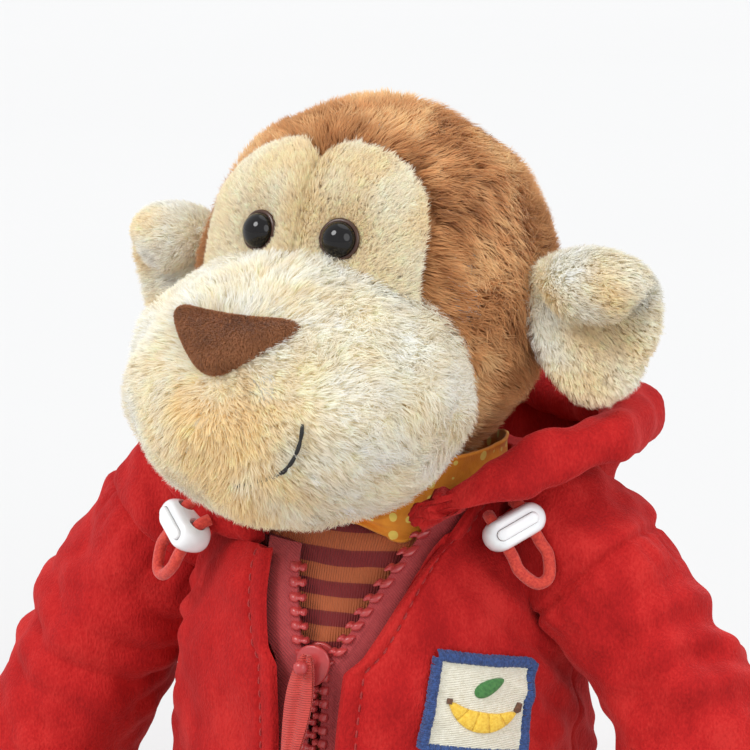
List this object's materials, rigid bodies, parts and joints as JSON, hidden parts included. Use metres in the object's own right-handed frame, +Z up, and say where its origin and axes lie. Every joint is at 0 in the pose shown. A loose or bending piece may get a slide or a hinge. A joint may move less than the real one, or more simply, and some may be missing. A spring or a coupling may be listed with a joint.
{
  "type": "plush monkey doll",
  "caption": "Seated plush monkey doll in a hooded zip jacket over a striped shirt, with a head that turns and nods, swinging arms, legs and tail, and a sliding zip.",
  "frame": {"origin": "on the flat underside of the seat, on the middle plane, where the doll rests on a shelf or floor", "axes": "+Z up, the body faces -Y, its left side is +X; the head looks 10 degrees to its right at rest"},
  "size_m": [0.2177, 0.2437, 0.2251],
  "materials": {
    "brown_plush": "long-pile plush",
    "cream_plush": "long-pile plush",
    "nose_velour": "short velour",
    "black_thread": "embroidery thread",
    "eye_plastic": "polished",
    "washer_plastic": "moulded",
    "fibre_fill": "loose polyester fibre",
    "pellet_cloth": "plain weave",
    "striped_jersey": "striped jersey",
    "dotted_cotton": "printed cotton",
    "red_velour": "velour",
    "zip_tape": "twill tape",
    "zip_plastic": "moulded",
    "ribbon_red": "woven ribbon",
    "badge_cotton": "plain weave",
    "badge_thread": "overlocked thread",
    "cord_red": "braided",
    "lock_white": "moulded",
    "spring_steel": "drawn wire"
  },
  "bodies": {
    "torso": {"body_cover": "brown_plush", "body_stuffing": "fibre_fill", "pellet_bag": "pellet_cloth", "striped_shirt": "striped_jersey", "neckerchief": "dotted_cotton", "jacket_back": "red_velour", "jacket_front_left": "red_velour", "jacket_front_right": "red_velour", "zip_tape_left": "zip_tape", "zip_tape_right": "zip_tape", "zip_teeth_left": "zip_plastic", "zip_teeth_right": "zip_plastic", "cord_lock_left": "lock_white", "cord_lock_right": "lock_white", "lock_spring_left": "spring_steel", "lock_spring_right": "spring_steel", "drawcord_left": "cord_red", "drawcord_right": "cord_red", "zip_bottom_box": "zip_plastic", "badge_cloth": "badge_cotton", "badge_border": "badge_thread", "hood": "red_velour", "hood_lining": "red_velour"},
    "neck": {"neck_core": "fibre_fill"},
    "head": {"head_cover": "brown_plush", "head_stuffing": "fibre_fill", "face_patch": "cream_plush", "muzzle_cover": "cream_plush", "muzzle_stuffing": "fibre_fill", "nose_pad": "nose_velour", "mouth_stitch": "black_thread", "eye_left": "eye_plastic", "eye_right": "eye_plastic", "eye_washer_left": "washer_plastic", "eye_washer_right": "washer_plastic", "ear_left_front": "cream_plush", "ear_left_back": "cream_plush", "ear_right_front": "cream_plush", "ear_right_back": "cream_plush"},
    "tail": {"tail": "brown_plush"},
    "slider": {"zip_slider": "zip_plastic"},
    "pull": {"pull_ribbon": "ribbon_red"},
    "arm_left": {"arm_cover_left": "brown_plush", "arm_filling_left": "fibre_fill", "sleeve_left": "red_velour", "hand_left": "cream_plush"},
    "leg_left": {"leg_cover_left": "brown_plush", "leg_filling_left": "fibre_fill", "foot_left": "cream_plush"},
    "lock_left": {"lock_button_left": "lock_white"},
    "arm_right": {"arm_cover_right": "brown_plush", "arm_filling_right": "fibre_fill", "sleeve_right": "red_velour", "hand_right": "cream_plush"},
    "leg_right": {"leg_cover_right": "brown_plush", "leg_filling_right": "fibre_fill", "foot_right": "cream_plush"},
    "lock_right": {"lock_button_right": "lock_white"}
  },
  "joints": [
    {"name": "neck_nod", "type": "hinge", "parent": "torso", "child": "neck", "pos_m": [0, -0.001, 0.13675], "axis": [1, 0, 0], "range_deg": [-8, 3], "stiffness_Nm_per_rad": 0.5},
    {"name": "neck_turn", "type": "hinge", "parent": "neck", "child": "head", "pos_m": [0, -0.001, 0.13675], "axis": [0, 0, 1], "range_deg": [-8, 8], "stiffness_Nm_per_rad": 0.3},
    {"name": "tail_swing", "type": "hinge", "parent": "torso", "child": "tail", "pos_m": [0, 0.03953, 0.007], "axis": [0, 0, 1], "range_deg": [-35, 35]},
    {"name": "zip_slide", "type": "slide", "parent": "torso", "child": "slider", "axis": [0, -0.0931, -0.9957], "range_m": [0, 0.04459], "deforming": ["zip_teeth_left", "zip_teeth_right", "zip_tape_left", "zip_tape_right"]},
    {"name": "pull_swing", "type": "hinge", "parent": "slider", "child": "pull", "pos_m": [0, -0.04225, 0.10247], "axis": [0, -0.9957, 0.0931], "range_deg": [-25, 25]},
    {"name": "shoulder_swing_left", "type": "hinge", "parent": "torso", "child": "arm_left", "pos_m": [0.049, 0.001, 0.123], "axis": [1, 0, 0], "range_deg": [-60, 25], "deforming": ["drawcord_left"]},
    {"name": "hip_swing_left", "type": "hinge", "parent": "torso", "child": "leg_left", "pos_m": [0.022, -0.026, 0.018], "axis": [0.9703, 0.2419, 0], "range_deg": [-10, 75]},
    {"name": "lock_press_left", "type": "slide", "parent": "torso", "child": "lock_left", "axis": [-0.5003, 0.8004, -0.3302], "range_m": [0, 0.0016], "stiffness_N_per_m": 400, "springref_m": -0.001, "deforming": ["lock_spring_left"]},
    {"name": "shoulder_swing_right", "type": "hinge", "parent": "torso", "child": "arm_right", "pos_m": [-0.049, 0.001, 0.123], "axis": [1, 0, 0], "range_deg": [-60, 25], "deforming": ["drawcord_right"]},
    {"name": "hip_swing_right", "type": "hinge", "parent": "torso", "child": "leg_right", "pos_m": [-0.022, -0.026, 0.018], "axis": [0.9703, -0.2419, 0], "range_deg": [-10, 75]},
    {"name": "lock_press_right", "type": "slide", "parent": "torso", "child": "lock_right", "axis": [0.5003, 0.8004, -0.3302], "range_m": [0, 0.0016], "stiffness_N_per_m": 400, "springref_m": -0.001, "deforming": ["lock_spring_right"]}
  ]
}
